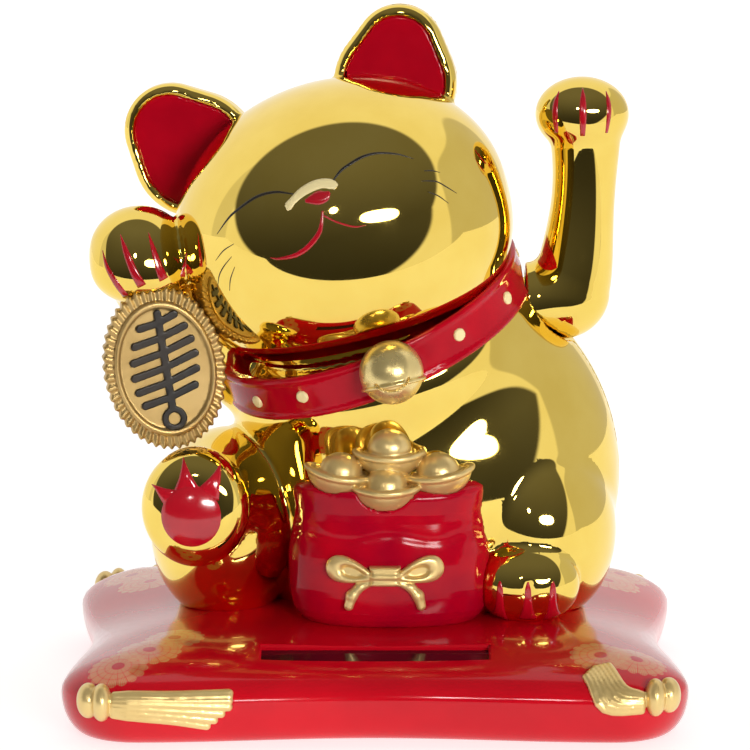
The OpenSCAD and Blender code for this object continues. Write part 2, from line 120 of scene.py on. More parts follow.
# In the head's frame: the circle at the ear's root (X, Z, radius), the one at its tip, how far back it is
EARS = {"left": ((-20.9, 16.3, 10.3), (-23.5, 21.0, 7.8), 7.2),
        "right": ((14.0, 18.3, 10.0), (16.2, 23.3, 7.3), 7.4)}
EAR_EDGE, EAR_RIM = 1.9, 1.7


def ear_measures(p, side):
    """Distance from the outline round both circles, half the thickness there, and distance behind it."""
    root, tip, back = EARS[side]
    q = local(p, HEAD_C, HEAD_T)
    run = np.subtract(tip, root)[:2]
    length = np.hypot(*run)
    ahead_x, ahead_z = run / length
    x, z = q[..., 0] - root[0], q[..., 2] - root[1]
    along, off = x * ahead_x + z * ahead_z, np.abs(x * ahead_z - z * ahead_x)
    slope = (root[2] - tip[2]) / length
    level = math.sqrt(1 - slope ** 2)
    place = along * level - off * slope
    outline = np.where(place < 0, np.hypot(along, off) - root[2],
                       np.where(place > level * length, np.hypot(along - length, off) - tip[2],
                                off * level + along * slope - root[2]))
    return outline, 3.4 - 0.9 * np.clip((along + 6) / 14, 0, 1), q[..., 1] - back


def ear(p, side):
    outline, half, y = ear_measures(p, side)
    body = slab(outline, np.abs(y) - half, EAR_EDGE)
    scoop = slab(outline + EAR_RIM, np.abs(y + half + 0.4) - EAR_RIM, 0.5)
    return cut(body, scoop, 0.5)


def head(p):
    """An egg whose lower half is fuller than an ellipsoid's."""
    q = np.abs(local(p, HEAD_C, HEAD_T) / np.asarray(HEAD_R, p.dtype))
    below = local(p, HEAD_C, HEAD_T)[..., 2] < 0
    flat = np.sqrt(q[..., 0] ** 2 + q[..., 1] ** 2) + 1e-6
    n = np.where(below, JAW_POWER, 2.0)
    reach = (flat ** n + q[..., 2] ** n) ** (1 / n)
    return (reach - 1) * HEAD_MEAN_R


def sole(p):
    """The raised foot's thick round sole."""
    q = local(p, (-28.6, -18.4, 33.7), turned(0, 0, -5))
    radial = (np.sqrt((q[..., 0] / 8.7) ** 2 + (q[..., 2] / 9.6) ** 2) - 1) * 9.1
    return slab(radial, np.abs(q[..., 1]) - 5.2, 4.6)


FOOT_SLITS = (20.0, 24.5, 28.5)


def cat(p):
    """The outside of the gilt shells, as one solid."""
    torso = join(ellipsoid(p, (8.6, 9, 34.2), (31.6, 25.5, 34)),
                 ellipsoid(p, COLLAR_C + COLLAR_T @ np.array([0, 0, -5.0]), (25, 25, 11), COLLAR_T), 7)
    thigh = join(ellipsoid(p, (-23.9, 2, 26.8), (12.8, 17, 16), turned(0, 6, 0)),
                 rod(p, (-25.4, 4, 31), (-28, -14, 33.6), 9.8, 7.5), 2.5)
    d = join(torso, join(thigh, sole(p), 1.4), 1.2)
    foot = join(rod(p, (22.0, -13.4, 20.2), (27.2, -13.4, 20.2), 5.8),
                rod(p, (24.6, -13, 20.4), (24.8, 4, 21.5), 6.5, 7.6), 2)
    for x in FOOT_SLITS:
        foot = cut(foot, rod(p, (x, -20.6, 12), (x + 0.1, -20.2, 21.0), 0.8, 0.6), 0.9)
    d = join(d, join(ellipsoid(p, (26, 2, 28), (13.2, 18, 17), turned(0, -14, 0)), foot, 0.9), 0.8)
    arm = rod(p, (-20, 7, 51.5), (-36.2, 0.6, 67), 7.5, 6.6)
    paw = join(ellipsoid(p, (-38.0, -3, 72.6), (8.1, 7.8, 7.4)),
               ellipsoid(p, (-37.5, -5.4, 69.3), (7.5, 5.6, 4.7)), 3)
    d = join(d, join(arm, paw, 2), 1.5)
    crown = join(head(p), ear(p, "left"), 0.9)
    crown = join(crown, ear(p, "right"), 0.9)
    return join(d, crown, 0.8)


PIVOT_Z, ARM_ROOT_R, ARM_ROOT_X = 63.0, 6.2, 24.4
# Height over the pivot, the spine's X and Y, and the radius of the waving arm
ARM_PROFILE = np.array([(-2, 31.2, 7.0, 6.3), (4, 32.3, 7.0, 6.25), (9, 33.1, 6.95, 5.95),
                        (14, 33.65, 6.85, 5.4), (18, 33.95, 6.75, 5.08), (22, 34.15, 6.6, 5.25),
                        (27, 34.2, 6.3, 5.9), (32, 33.8, 5.6, 6.2)])
ARM_CURVES = [np.polyfit(ARM_PROFILE[:, 0], ARM_PROFILE[:, k], 4) for k in (1, 2, 3)]
ARM_LOW, ARM_HIGH = 1.4, 30
SHOULDER_X, SHOULDER_R, HUB_HOLE_R = 23.9, 6.75, 4
HUB_BORE_R, HUB_BORE_END = 2.62, 36


def off_pivot(p):
    """Distance from the pivot's axis, which runs along X."""
    return np.hypot(p[..., 1] - PARTING_Y, p[..., 2] - PIVOT_Z)


def arm_form(p):
    """The arm's outside: a round root on the pivot, a smooth tube up from the elbow, and the paw."""
    root = slab(off_pivot(p) - ARM_ROOT_R, np.abs(p[..., 0] - ARM_ROOT_X - 3.0) - 3.0, 0.5)
    root = join(root, rod(p, (28, PARTING_Y, PIVOT_Z), (30.6, PARTING_Y, PIVOT_Z), 6.15), 0.2)
    root = meet(root, ARM_ROOT_X - p[..., 0], 0.4)
    height = np.clip(p[..., 2] - PIVOT_Z, ARM_LOW, ARM_HIGH)
    x, y, r = (np.polyval(curve, height) for curve in ARM_CURVES)
    beyond = p[..., 2] - PIVOT_Z - height
    tube = np.sqrt((p[..., 0] - x) ** 2 + (p[..., 1] - y) ** 2 + beyond ** 2) - r
    paw = join(ellipsoid(p, (33.65, 6.4, 93.6), (7.55, 6.3, 6.1)),
               ellipsoid(p, (33.5, 4.4, 94.3), (7.0, 5.3, 5.3)), 1.5)
    return join(join(root, tube, 2.0), paw, 0.9)


def shoulder_hole(p):
    """Room for the arm's root outside the body, and the hole behind it for the hub."""
    r = off_pivot(p)
    wide = np.maximum(r - SHOULDER_R, SHOULDER_X - p[..., 0])
    return np.minimum(wide, np.maximum(r - HUB_HOLE_R, np.abs(p[..., 0] - 24) - 5))


# ---------- the cushion ----------

CUSHION_W, CUSHION_D, CROWN_Z, SEAM_Z = 99.5, 87.0, 14.5, 7.0
SIDE_DIP, FRONT_DIP, DIP_END, CORNER_R = 3.5, 3.0, 8, 12.0
CROWN_INSET, BASE_INSET = 26.0, 4.5


def cushion_field(p):
    x, y, z = p[..., 0], p[..., 1], p[..., 2]
    hx, hy = CUSHION_W / 2, CUSHION_D / 2
    wave_x = np.cos(np.pi / 2 * np.minimum(1, np.abs(y) / (hy - DIP_END)))
    wave_y = np.cos(np.pi / 2 * np.minimum(1, np.abs(x) / (hx - DIP_END)))
    u = np.abs(x) + SIDE_DIP * wave_x ** 2 - hx + CORNER_R
    v = np.abs(y) + FRONT_DIP * wave_y ** 2 - hy + CORNER_R
    outline = np.minimum(np.maximum(u, v), 0) + np.hypot(np.maximum(u, 0), np.maximum(v, 0)) - CORNER_R
    above = (np.hypot(np.maximum(1 + outline / CROWN_INSET, 0), (z - SEAM_Z) / (CROWN_Z - SEAM_Z)) - 1) * 8
    below = (np.hypot(np.maximum(1 + outline / BASE_INSET, 0), (SEAM_Z - z) / SEAM_Z) - 1) * 4
    return np.where(z > SEAM_Z, above, below)


def cushion_outline(inset, steps=(10, 26)):
    """The cushion's outline pulled in by inset, as points: round corners and hollow sides."""
    hx, hy = CUSHION_W / 2 - inset, CUSHION_D / 2 - inset
    r = max(CORNER_R - inset, 2.5)
    corners = [(1, 1), (-1, 1), (-1, -1), (1, -1)]

    def arc(q, a):
        sx, sy = corners[q % 4]
        return np.array([sx * (hx - r) + r * math.cos(a), sy * (hy - r) + r * math.sin(a)])

    points = []
    for q in range(4):
        points += [arc(q, math.pi / 2 * (q + k / steps[0])) for k in range(steps[0] + 1)]
        a, b = arc(q, math.pi / 2 * (q + 1)), arc(q + 1, math.pi / 2 * (q + 1))
        points += [a + (b - a) * k / steps[1] for k in range(1, steps[1])]
    points = np.array(points)
    wave_x = np.cos(np.pi / 2 * np.minimum(1, np.abs(points[:, 1]) / (hy - DIP_END)))
    wave_y = np.cos(np.pi / 2 * np.minimum(1, np.abs(points[:, 0]) / (hx - DIP_END)))
    points[:, 0] -= np.sign(points[:, 0]) * SIDE_DIP * wave_x ** 2
    points[:, 1] -= np.sign(points[:, 1]) * FRONT_DIP * wave_y ** 2
    return points


# ---------- charms ----------

# Gaps left where two pieces touch, a fine one and a wider one
GAP, WIDE_GAP = 0.02, 0.03
BAG_C, BAG_FOOT_Z, BAG_LIP_Z, BAG_DEPTH = (2.4, -11.6), 13.2, 24.0, 0.66
# Half width of the bag at heights above its foot
BAG_PROFILE = [(-3, 9), (0, 12), (1, 13.8), (3, 15.6), (6.5, 16.35), (12, 16.35), (15.5, 15.9), (19.0, 15.2),
               (21.5, 15.6), (24.0, 15.7), (26, 14)]


def bag_field(p):
    """A squarish sack with a slack waist, a few folds and an uneven lip."""
    heights, widths = np.array(BAG_PROFILE).T
    z = p[..., 2] - BAG_FOOT_Z
    half = np.interp(z - 0.6, heights, widths) / 2 + np.interp(z + 0.6, heights, widths) / 2
    x, y = p[..., 0] - BAG_C[0], (p[..., 1] - BAG_C[1]) / BAG_DEPTH
    reach = (np.abs(x) ** 2.5 + np.abs(y) ** 2.5 + 1e-6) ** 0.4
    angle = np.arctan2(y, x)
    crease_z = 16.0 + 0.5 * np.sin(7 * angle)
    folds = 0.1 * np.cos(17 * angle) * np.exp(-((z - crease_z) / 3.2) ** 2)
    crease = 0.22 * np.exp(-((z - crease_z) / 0.8) ** 2)
    side = (reach - half - folds + crease) * 0.75
    lip = z - BAG_LIP_Z - 0.5 * np.cos(3 * angle + 0.6)
    return meet(side, lip, 1.8)


# Centre, lean in degrees, and how much the dome is raised
INGOTS = [(-5.6, -17.8, 38.6, 9, 0), (10.2, -17.8, 38.6, -8, 0),
          (2.3, -17.0, 41.6, 0, 0.7), (1.7, -19.4, 36.5, 0, 0)]


def ingot(p, x, y, z, lean, lift):
    """A boat with a rolled brim and a dome standing well above it."""
    q = local(p, (x, y, z), turned(0, lean, 0))
    brim = 0.1 + 0.02 * q[..., 0] ** 2
    hull = meet(ellipsoid(q, (0, 0, 1.2), (5.5, 4.3, 4.8)), q[..., 2] - brim, 0.3)
    hull = meet(hull, -3.3 - q[..., 2], 0.4)
    ring = (np.hypot(q[..., 0] / 5.35, q[..., 1] / 4.1) - 1) * 4.6
    rim = np.hypot(ring, q[..., 2] - brim) - 0.55
    inner = np.hypot(ring + 1.25, q[..., 2] - brim - 0.1) - 0.35
    d = join(join(hull, rim, 0.3), inner, 0.25)
    return join(d, ellipsoid(q, (0, 0, 0.5 + lift), (3.5, 3.1, 3.3)), 0.3)


def ingots_field(p):
    return np.minimum.reduce([ingot(p, *place) for place in INGOTS])


BOW_C = (1.6, -22.9, 23.3)


def bow_field(p):
    """Two plump loops, a knot and two tails, bent round the bag's front."""
    x = np.abs(p[..., 0] - BOW_C[0])
    y, z = p[..., 1] - BOW_C[1] - 0.013 * x ** 2, p[..., 2] - BOW_C[2]
    knot = slab(np.maximum(x - 2.4, np.abs(z) - 1.5), np.abs(y) - 1.3, 0.8) - 0.12 * np.cos(4.5 * z)
    lean = math.radians(14)
    u = (x - 5.2) * math.cos(lean) + (z - 0.6) * math.sin(lean)
    v = -(x - 5.2) * math.sin(lean) + (z - 0.6) * math.cos(lean)
    radial = (np.hypot(u / 3.0, v / (1.3 + 0.2 * u)) - 1) * 1.6
    loops = join(np.hypot(radial, y / 1.15) - 0.7, slab(radial, np.abs(y - 0.5) - 0.6, 0.3), 0.3)
    side = np.stack([x, y, z], -1)
    tails = chain(side, [(2.4, 0, -1.1), (4.1, 0, -1.9), (5.3, 0, -3.3), (5.8, 0, -5.0)],
                  [0.6, 0.75, 0.9, 0.75], 0.4)
    return join(join(knot, loops, 0.3), tails, 0.3)


COIN_C, COIN_T = (-33.9, -9, 54.7), turned(0, -10, 8)
COIN_RX, COIN_RZ, COIN_NOTCHES = 9.9, 13.5, 48
SPRIG_TOP, SPRIG_PITCH, SPRIG_SLOPE = 7.6, 2.45, 0.225


def coin_field(p):
    """An oval plate with a notched flange and a bead between them."""
    q = local(p, COIN_C, COIN_T)
    x, y, z = q[..., 0], q[..., 1], q[..., 2]
    reach = np.sqrt((x / COIN_RX) ** 2 + (z / COIN_RZ) ** 2)
    angle = np.arctan2(z / COIN_RZ, x / COIN_RX)
    radial = (reach - 1) * 11.3
    notch = np.cos(COIN_NOTCHES * angle)
    flange = slab(radial + 0.22 - 0.22 * notch, np.abs(y) - 1.35 - 0.13 * notch, 0.55)
    plate = slab(radial + 2.3, np.abs(y) - 1.75, 0.3)
    bead = np.hypot(radial + 2.5, np.abs(y) - 1.75) - 0.5
    return join(join(flange, plate, 0.3), bead, 0.25)


def ornament_field(p):
    """A plain sprig: a stem with pairs of slanted bars, and a ring at its foot."""
    q = local(p, COIN_C, COIN_T)
    flat = q * np.array([1, 0, 1], q.dtype)
    d = rod(flat, (0.3, 0, 9.2), (0, 0, -6.2), 0.62)
    for k, reach in enumerate((2.9, 4.2, 4.9, 5.1, 4.9, 4.2)):
        z = SPRIG_TOP - SPRIG_PITCH * k
        for side in (-1, 1):
            end = (side * reach, 0, z + SPRIG_SLOPE * side * reach + 0.3)
            d = join(d, rod(flat, (0, 0, z), end, 0.6, 0.66), 0.15)
    ring = np.abs(np.hypot(flat[..., 0], flat[..., 2] + 8.2) - 1.5) - 0.5
    d = join(d, ring, 0.15)
    return slab(d, np.abs(q[..., 1] + 1.9) - 0.5, 0.2)


BELL_C, BELL_R = (2.6, -22.0, 56.1), 5.1


def bell_field(p):
    """A ball with a belt and a curved slit, flat where it sits on the collar."""
    q = local(p, BELL_C, turned(-8, -12, 0))
    ball = np.linalg.norm(q, axis=-1) - BELL_R
    r = np.hypot(q[..., 0], q[..., 1])
    belt = np.hypot(r - 4.95, q[..., 2] + 1.9) - 0.3
    d = join(ball, belt, 0.3)
    arc = np.abs(np.hypot(q[..., 0], q[..., 2] - 0.3) - 3.1) - 0.14
    arc = np.maximum(np.maximum(arc, q[..., 2] + 1.2), q[..., 1])
    d = cut(d, np.maximum(arc, -(ball + 0.5)), 0.15)
    behind = local(p, COLLAR_C, COLLAR_T)
    return np.maximum(d, (COLLAR_R + 0.01) - np.hypot(behind[..., 0], behind[..., 1]))


def collar_field(p):
    """A flat band with a rolled rim at each edge, open where the arm's root passes."""
    q = local(p, COLLAR_C, COLLAR_T)
    r, z = np.hypot(q[..., 0], q[..., 1]), q[..., 2]
    band = slab(np.abs(r - COLLAR_R + 1.15) - 0.95, np.abs(z) - COLLAR_H / 2 + 0.3, 0.5)
    rims = np.hypot(r - COLLAR_R + 0.55, np.abs(z) - COLLAR_H / 2 + 0.6) - 0.6
    return cut(join(band, rims, 0.4), shoulder_hole(p), 0.1)


# Beads as centre and radii; the skirt's root, middle and end; its half width at those three; how much
# shorter its last strand is, and at which edge (1 or -1); and which way its end faces
ALONG_FRONT, OVER_EDGE = (0, -1.0, 0), (0, -0.75, 0.65)
TASSEL_FRONT_LEFT = {
    "beads": [((-44.9, -40.8, 7.2), (1.9, 2.6, 2.8)), ((-42.8, -42.2, 7.2), (1.7, 2.6, 3.0))],
    "root": (-41.0, -43.7, 7.3), "mid": (-32, -43.7, 6.9), "end": (-22.9, -42.9, 6.4),
    "width": (2.0, 2.7, 3.6), "slant": 3.2, "drop": -1, "facing": ALONG_FRONT}
TASSEL_FRONT_RIGHT = {
    "beads": [((46.1, -40.0, 7.9), (1.9, 2.6, 2.8)), ((43.9, -41.7, 7.9), (1.7, 2.6, 3.0))],
    "root": (42.0, -43.5, 7.8), "mid": (37.4, -42.9, 8.3), "end": (34.6, -38.5, 12.7),
    "width": (1.8, 2.5, 2.3), "slant": 1.6, "drop": 1, "facing": OVER_EDGE}
STRANDS, STRAND_R = 7, 0.7


def unit(v):
    return v / np.linalg.norm(v)


def tassel_field(t, turn):
    """The field of one tassel; with turn -1, of its copy at the opposite corner."""
    root, mid, end = (np.array(t[k], float) for k in ("root", "mid", "end"))
    first, last = mid - root, end - mid
    ahead = unit(last)
    across_1, across_2 = unit(np.cross(ALONG_FRONT, first)), unit(np.cross(t["facing"], last))
    across_m = unit(across_1 + across_2)
    strands = []
    for k in range(STRANDS):
        s = 2 * k / (STRANDS - 1) - 1
        tip = end + s * t["width"][2] * across_2 - max(0, s * t["drop"]) * t["slant"] * ahead
        points = [root + s * t["width"][0] * across_1, mid + s * t["width"][1] * across_m, tip]
        strands.append(settled(cushion_field, smooth_path(points, 4), 6, 3) + (0, -0.2, 0.1))

    def field(p):
        q = p * np.array([turn, turn, 1], p.dtype)
        d = join(*(ellipsoid(q, centre, radii) for centre, radii in t["beads"]), 0.25)
        skirt = chain(q, strands[0], [STRAND_R] * len(strands[0]))
        for points in strands[1:]:
            skirt = join(skirt, chain(q, points, [STRAND_R] * len(points)), 0.05)
        return cut(join(d, skirt, 0.2), cushion_field(q) - GAP)
    return field


# ---------- meshes from fields ----------

CORNERS = np.array([(i, j, k) for i in (0, 1) for j in (0, 1) for k in (0, 1)])
EDGES = [(a, b) for a in range(8) for b in range(a + 1, 8) if np.abs(CORNERS[a] - CORNERS[b]).sum() == 1]
SLICES = 12


def gradient(field, points, h=0.03):
    axes = np.eye(3) * h
    return np.stack([field(points + e) - field(points - e) for e in axes], -1) / (2 * h)


def settled(field, points, rounds=5, reach=0.3):
    """The points moved along the slope onto the field's surface."""
    points = np.array(points, float)
    for _ in range(rounds):
        slope = gradient(field, points)
        move = field(points)[..., None] * slope / np.maximum((slope ** 2).sum(-1), 0.15)[..., None]
        length = np.linalg.norm(move, axis=-1, keepdims=True)
        points -= move * np.minimum(1, reach / np.maximum(length, 1e-9))
    return points


def netted(field, low, high, step):
    """Points and quads of the closed surface where the field is zero (surface nets)."""
    low = np.array(low, float) - 2 * step
    n = np.ceil((np.array(high, float) + 2 * step - low) / step).astype(int) + 1
    xs, ys, zs = [low[i] + step * np.arange(n[i]) for i in range(3)]
    value = np.empty(n, np.float32)
    for i in range(0, n[0], SLICES):
        grid = np.stack(np.meshgrid(xs[i:i + SLICES], ys, zs, indexing="ij"), -1)
        value[i:i + SLICES] = field(grid.astype(np.float32))
    inside = value < 0
    count = sum(inside[i:n[0] - 1 + i, j:n[1] - 1 + j, k:n[2] - 1 + k].astype(np.int8) for i, j, k in CORNERS)
    active = (count > 0) & (count < 8)
    cell = np.argwhere(active)
    corner = value[tuple((cell[:, None, :] + CORNERS[None]).transpose(2, 0, 1))].astype(float)
    total, hits = np.zeros((len(cell), 3)), np.zeros(len(cell))
    for a, b in EDGES:
        va, vb = corner[:, a], corner[:, b]
        cross = (va < 0) != (vb < 0)
        t = np.where(cross, va / np.where(cross, va - vb, 1), 0)
        total += np.where(cross[:, None], CORNERS[a] + t[:, None] * (CORNERS[b] - CORNERS[a]), 0)
        hits += cross
    points = low + step * (cell + total / hits[:, None])
    index = np.full(n - 1, -1, np.int64)
    index[active] = np.arange(len(cell))
    quads = []
    for axis in range(3):
        u, v = (axis + 1) % 3, (axis + 2) % 3
        window = [slice(None)] * 3
        window[u], window[v] = slice(1, n[u] - 1), slice(1, n[v] - 1)
        near, far = list(window), list(window)
        near[axis], far[axis] = slice(0, n[axis] - 1), slice(1, n[axis])
        first, second = inside[tuple(near)], inside[tuple(far)]
        at = np.argwhere(first != second)
        leaving = first[tuple(at.T)]
        at[:, u] += 1
        at[:, v] += 1
        eu, ev = np.eye(3, dtype=int)[u], np.eye(3, dtype=int)[v]
        quad = np.stack([index[tuple(c.T)] for c in (at - eu - ev, at - ev, at, at - eu)], -1)
        quads.append(np.where(leaving[:, None], quad, quad[:, ::-1]))
    return points, np.concatenate(quads)


def new_object(name, points, faces, smooth=True):
    mesh = bpy.data.meshes.new(name)
    mesh.from_pydata((np.asarray(points) * MM).tolist(), [], [list(map(int, f)) for f in faces])
    mesh.validate()
    if smooth:
        mesh.shade_smooth()
    obj = bpy.data.objects.new(name, mesh)
    bpy.context.scene.collection.objects.link(obj)
    return obj


def use_field_normals(obj, field, points, agree=0.985):
    """Shade by the field's own slope wherever it agrees with the mesh, for clean reflections."""
    mesh = obj.data
    found = np.empty(len(mesh.vertices) * 3, np.float32)
    mesh.vertex_normals.foreach_get("vector", found)
    found = found.reshape(-1, 3)
    slope = gradient(field, points)
    slope /= np.maximum(np.linalg.norm(slope, axis=-1, keepdims=True), 1e-9)
    good = (slope * found).sum(-1, keepdims=True) > agree
    mesh.normals_split_custom_set_from_vertices(np.where(good, slope, found).tolist())


def finish_piece(obj, material, body, replaced=()):
    obj.data.materials.clear()
    obj.data.materials.append(material)
    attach(obj, body)
    if replaced:
        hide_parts(*replaced)
    return obj


def field_piece(name, field, low, high, step, material, body="figure", replaced=()):
    """One closed mesh of the field between the corners low and high, in cells of about step."""
    points, faces = netted(field, low, high, step * COARSE)
    points = settled(field, points, reach=0.35 * step)
    obj = new_object(name, points, faces)
    if len(obj.data.vertices) == len(points):
        use_field_normals(obj, field, points)
    return finish_piece(obj, material, body, replaced)


# ---------- painted strokes that lie on a field ----------

def smooth_path(points, steps=7):
    """Catmull-Rom curve through the points; every column is carried along."""
    points = np.array(points, float)
    padded = np.vstack([2 * points[0] - points[1], points, 2 * points[-1] - points[-2]])
    found = []
    for i in range(1, len(padded) - 2):
        a, b, c, d = padded[i - 1:i + 3]
        for t in np.arange(steps) / steps:
            found.append(0.5 * (2 * b + (c - a) * t + (2 * a - 5 * b + 4 * c - d) * t ** 2
                                + (3 * b - a - 3 * c + d) * t ** 3))
    return np.array(found + [points[-1]])


def dropped(field, points, direction):
    """Points moved along direction until they meet the field's surface."""
    points = np.array(points, float)
    direction = np.asarray(direction, float)
    for _ in range(90):
        points += 0.6 * np.maximum(field(points), 0)[:, None] * direction
    return settled(field, points, 3)


def stroke_mesh(field, path, widths, lift, sink=0.12, lanes=5):
    """A thin raised ribbon of paint along path, which lies on the field."""
    normal = gradient(field, path)
    normal /= np.linalg.norm(normal, axis=-1, keepdims=True)
    tangent = np.gradient(path, axis=0)
    tangent /= np.maximum(np.linalg.norm(tangent, axis=-1, keepdims=True), 1e-9)
    side = np.cross(normal, tangent)
    side /= np.linalg.norm(side, axis=-1, keepdims=True)
    s = np.linspace(-1, 1, lanes)
    flat = path[:, None, :] + side[:, None, :] * (s[None, :, None] * np.asarray(widths)[:, None, None] / 2)
    flat = settled(field, flat.reshape(-1, 3), 4)
    up = gradient(field, flat)
    up /= np.linalg.norm(up, axis=-1, keepdims=True)
    flat, up = flat.reshape(len(path), lanes, 3), up.reshape(len(path), lanes, 3)
    top = flat + up * (lift * (1 - 0.75 * s ** 4))[None, :, None]
    bottom = flat - up * sink
    rings = np.concatenate([top, bottom[:, ::-1]], 1)
    count = 2 * lanes
    faces = []
    for i in range(len(path) - 1):
        for j in range(count):
            k = (j + 1) % count
            faces.append((i * count + j, i * count + k, (i + 1) * count + k, (i + 1) * count + j))
    for end, flip in ((0, True), (len(path) - 1, False)):
        for j in range(lanes - 1):
            quad = [end * count + k for k in (j, j + 1, count - 2 - j, count - 1 - j)]
            faces.append(quad[::-1] if flip else quad)
    return rings.reshape(-1, 3), faces


def joined(parts):
    points, faces, start = [], [], 0
    for p, f in parts:
        points.append(p)
        faces += [[start + i for i in face] for face in f]
        start += len(p)
    return np.vstack(points), faces


def outward(obj):
    """Turn every face of a closed mesh outward."""
    work = bmesh.new()
    work.from_mesh(obj.data)
    bmesh.ops.recalc_face_normals(work, faces=work.faces)
    work.to_mesh(obj.data)
    work.free()


# Strokes start at this Y, in front of all that is painted
FRONT_Y = -45.0


def painted(name, field, strokes, material, body="figure", space=None, lift=0.06):
    """Strokes given as lists of (x, z, width) seen from the front, dropped onto the field."""
    parts = []
    for points in strokes:
        path = smooth_path(points)
        start = np.stack([path[:, 0], np.full(len(path), FRONT_Y), path[:, 1]], -1)
        direction = np.array([0, 1.0, 0])
        if space is not None:
            start, direction = start @ space[1].T + np.array(space[0]), space[1] @ direction
        parts.append(stroke_mesh(field, dropped(field, start, direction), np.maximum(path[:, 2], 0.05), lift))
    obj = new_object(name, *joined(parts))
    outward(obj)
    return finish_piece(obj, material, body)


# ---------- materials ----------

class Shader:
    """A small helper round one material's nodes."""

    def __init__(self, name):
        self.material = bpy.data.materials.new(name)
        self.material.use_nodes = True
        self.nodes, self.links = self.material.node_tree.nodes, self.material.node_tree.links
        self.bsdf = self.nodes["Principled BSDF"]
        self.position = self.node("ShaderNodeTexCoord").outputs["Object"]

    def node(self, kind, **settings):
        made = self.nodes.new(kind)
        for key, value in settings.items():
            setattr(made, key, value)
        return made

    def put(self, socket, value):
        if isinstance(value, bpy.types.NodeSocket):
            self.links.new(value, socket)
        else:
            socket.default_value = value

    def math(self, operation, a, b=None, clamp=False):
        made = self.node("ShaderNodeMath", operation=operation, use_clamp=clamp)
        self.put(made.inputs[0], a)
        if b is not None:
            self.put(made.inputs[1], b)
        return made.outputs[0]

    def noise(self, scale, detail=3.0):
        made = self.node("ShaderNodeTexNoise")
        self.put(made.inputs["Vector"], self.position)
        made.inputs["Scale"].default_value = scale
        made.inputs["Detail"].default_value = detail
        made.inputs["Roughness"].default_value = 0.55
        return made.outputs["Fac"]

    def ramp(self, value, low, high, out_low=0.0, out_high=1.0):
        made = self.node("ShaderNodeMapRange")
        self.put(made.inputs["Value"], value)
        for key, v in zip(("From Min", "From Max", "To Min", "To Max"), (low, high, out_low, out_high)):
            made.inputs[key].default_value = v
        return made.outputs["Result"]

    def mix(self, factor, a, b):
        made = self.node("ShaderNodeMix", data_type="RGBA")
        self.put(made.inputs["Factor"], factor)
        self.put(made.inputs["A"], (*a, 1) if isinstance(a, tuple) else a)
        self.put(made.inputs["B"], (*b, 1) if isinstance(b, tuple) else b)
        return made.outputs["Result"]

    def bump(self, height, strength, distance):
        made = self.node("ShaderNodeBump")
        made.inputs["Strength"].default_value = strength
        made.inputs["Distance"].default_value = distance
        self.put(made.inputs["Height"], height)
        self.put(self.bsdf.inputs["Normal"], made.outputs["Normal"])

    def set(self, **values):
        for key, value in values.items():
            self.put(self.bsdf.inputs[key.replace("_", " ")], value)


def finish_of(name, colour, other, metallic=0.0, rough=(0.3, 0.4), grain=900, bump=(0.1, 0.00002), coat=0.0,
              specular=0.5):
    """A material whose colour drifts between two near tones, with a fine grain in its gloss and surface."""
    s = Shader(name)
    s.set(Base_Color=s.mix(s.ramp(s.noise(110), 0.35, 0.65), colour, other), Metallic=metallic,
          Roughness=s.ramp(s.noise(grain), 0.3, 0.7, *rough), Coat_Weight=coat, Coat_Roughness=0.03,
          Specular_IOR_Level=specular)
    s.bump(s.noise(grain, 2.0), *bump)
    return s


mirror_gold = finish_of("mirror_gold", (0.90, 0.665, 0.155), (0.86, 0.62, 0.13), 1.0, (0.025, 0.05), 260,
                        (0.035, 0.00004)).material
satin_gold = finish_of("satin_gold", (0.84, 0.63, 0.27), (0.76, 0.54, 0.21), 0.6, (0.28, 0.34), 500,
                       (0.02, 0.00001)).material
bell_gold = finish_of("bell_gold", (0.86, 0.68, 0.30), (0.82, 0.63, 0.26), 0.75, (0.26, 0.30), 500,
                      (0.02, 0.00001)).material
coin_gold = finish_of("coin_gold", (0.60, 0.41, 0.16), (0.50, 0.33, 0.12), 0.75, (0.34, 0.48), 1500,
                      (0.05, 0.00001)).material
cream_gold = finish_of("cream_gold", (0.95, 0.80, 0.42), (0.90, 0.74, 0.37), 0.0, (0.35, 0.45), 1800).material
enamel_red = finish_of("enamel_red", (0.50, 0.002, 0.014), (0.42, 0.001, 0.012), 0.0, (0.10, 0.16), 700,
                       (0.04, 0.00003), 0.1, 0.15).material
bag_red = finish_of("bag_red", (0.50, 0.001, 0.012), (0.36, 0.0, 0.014), 0.0, (0.10, 0.18), 500,
                    (0.06, 0.00005), 0.1, 0.15).material
collar_red = finish_of("collar_red", (0.52, 0.002, 0.014), (0.42, 0.001, 0.012), 0.0, (0.08, 0.14), 600,
                       (0.04, 0.00004), 0.1, 0.15).material
paint_red = finish_of("paint_red", (0.52, 0.003, 0.015), (0.42, 0.002, 0.012), 0.0, (0.14, 0.22), 1500,
                      coat=0.6).material
paint_black = finish_of("paint_black", (0.012, 0.009, 0.007), (0.03, 0.02, 0.012), 0.0, (0.3, 0.45),
                        1800).material


